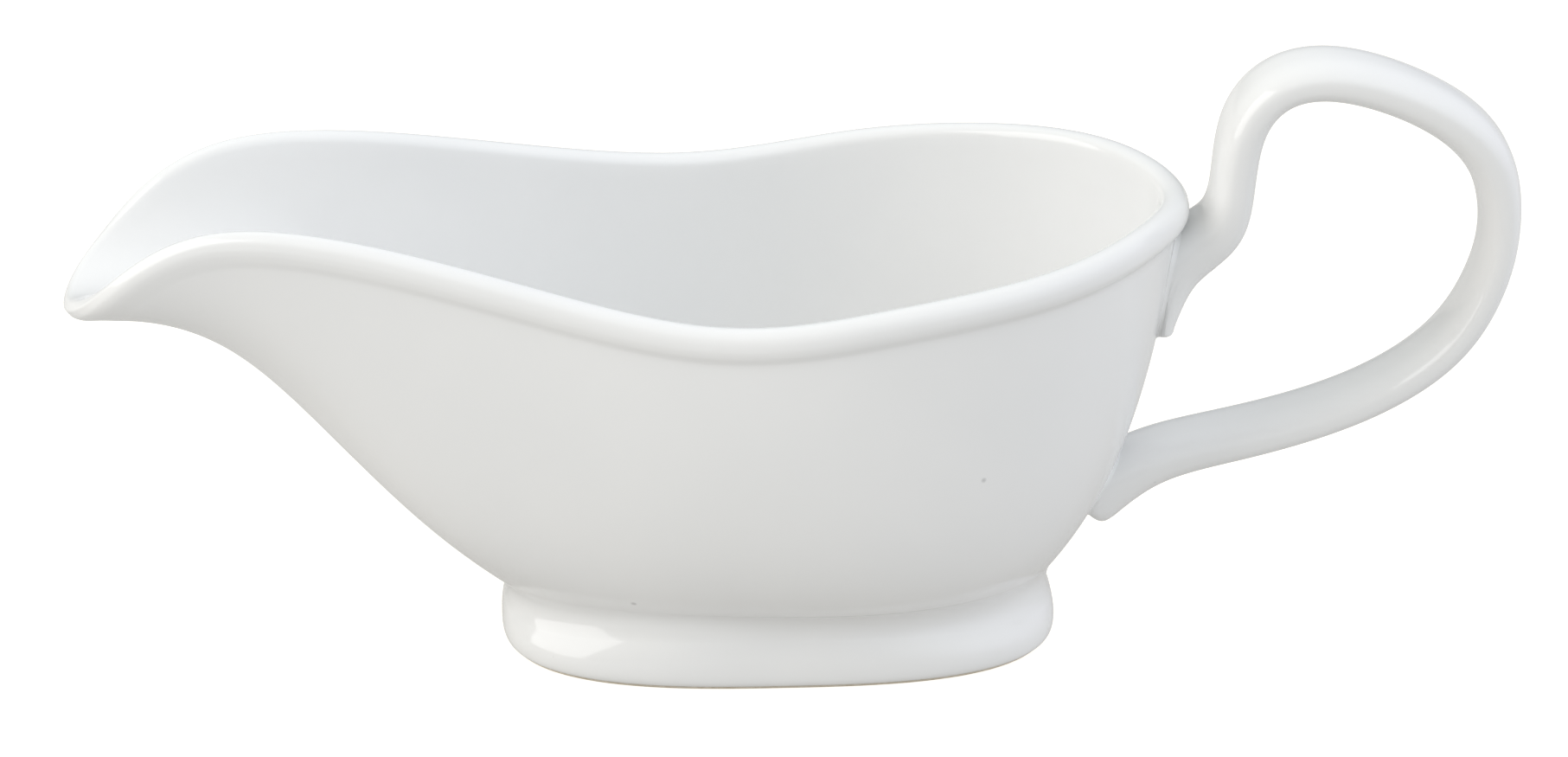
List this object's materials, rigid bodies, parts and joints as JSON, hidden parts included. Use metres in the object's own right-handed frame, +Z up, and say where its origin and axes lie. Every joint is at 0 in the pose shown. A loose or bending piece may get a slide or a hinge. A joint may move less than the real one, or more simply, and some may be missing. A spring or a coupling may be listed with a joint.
{
  "type": "gravy boat",
  "caption": "Glazed porcelain gravy boat with a flared pouring spout, a rolled rim, an oval pedestal foot and a high loop handle at the rear.",
  "frame": {"origin": "centre of the foot on the surface it stands on", "axes": "+Z up, -X towards the pouring spout, +X towards the handle, and the boat is symmetric about the plane Y = 0"},
  "size_m": [0.2254, 0.0854, 0.0927],
  "materials": {
    "glazed_porcelain": "clear gloss glaze over white porcelain",
    "bare_porcelain": "unglazed, rubbed smooth"
  },
  "bodies": {
    "root": {"body": "glazed_porcelain", "foot": "glazed_porcelain", "foot_land": "bare_porcelain", "handle": "glazed_porcelain", "upper_slip_joint": "glazed_porcelain", "lower_slip_joint": "glazed_porcelain"}
  },
  "joints": []
}
